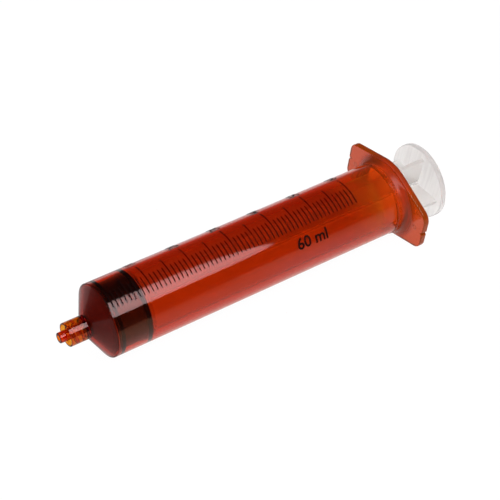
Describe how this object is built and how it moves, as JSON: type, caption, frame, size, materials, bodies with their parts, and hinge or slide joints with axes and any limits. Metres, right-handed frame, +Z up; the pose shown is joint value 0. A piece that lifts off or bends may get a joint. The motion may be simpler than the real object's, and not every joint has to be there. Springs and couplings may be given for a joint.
{
  "type": "luer lock syringe",
  "caption": "Amber light-protecting syringe with a threaded luer lock tip, a hexagonal finger flange, a printed millilitre scale and a clear plunger with a rubber stopper.",
  "frame": {"origin": "centre of the luer tip's end face", "axes": "+X along the syringe's axis from the luer tip to the thumb disc, +Z up as it lies with one long edge of the finger flange level"},
  "size_m": [0.164, 0.049, 0.0318],
  "materials": {
    "amber_plastic": "glossy see-through amber polypropylene",
    "scale_ink": "matt black ink",
    "stopper_rubber": "satin black rubber",
    "clear_plastic": "glossy clear polypropylene, slightly milky"
  },
  "bodies": {
    "barrel": {"barrel": "amber_plastic", "scale_print": "scale_ink"},
    "stopper": {"stopper": "stopper_rubber"},
    "plunger_rod": {"plunger_rod": "clear_plastic"}
  },
  "joints": [
    {"name": "plunger_slide", "type": "slide", "parent": "barrel", "child": "stopper", "axis": [1, 0, 0], "range_m": [0, 0.109]},
    {"name": "rod_turn", "type": "hinge", "parent": "stopper", "child": "plunger_rod", "pos_m": [0.0265, 0, 0], "axis": [1, 0, 0], "continuous": true}
  ]
}
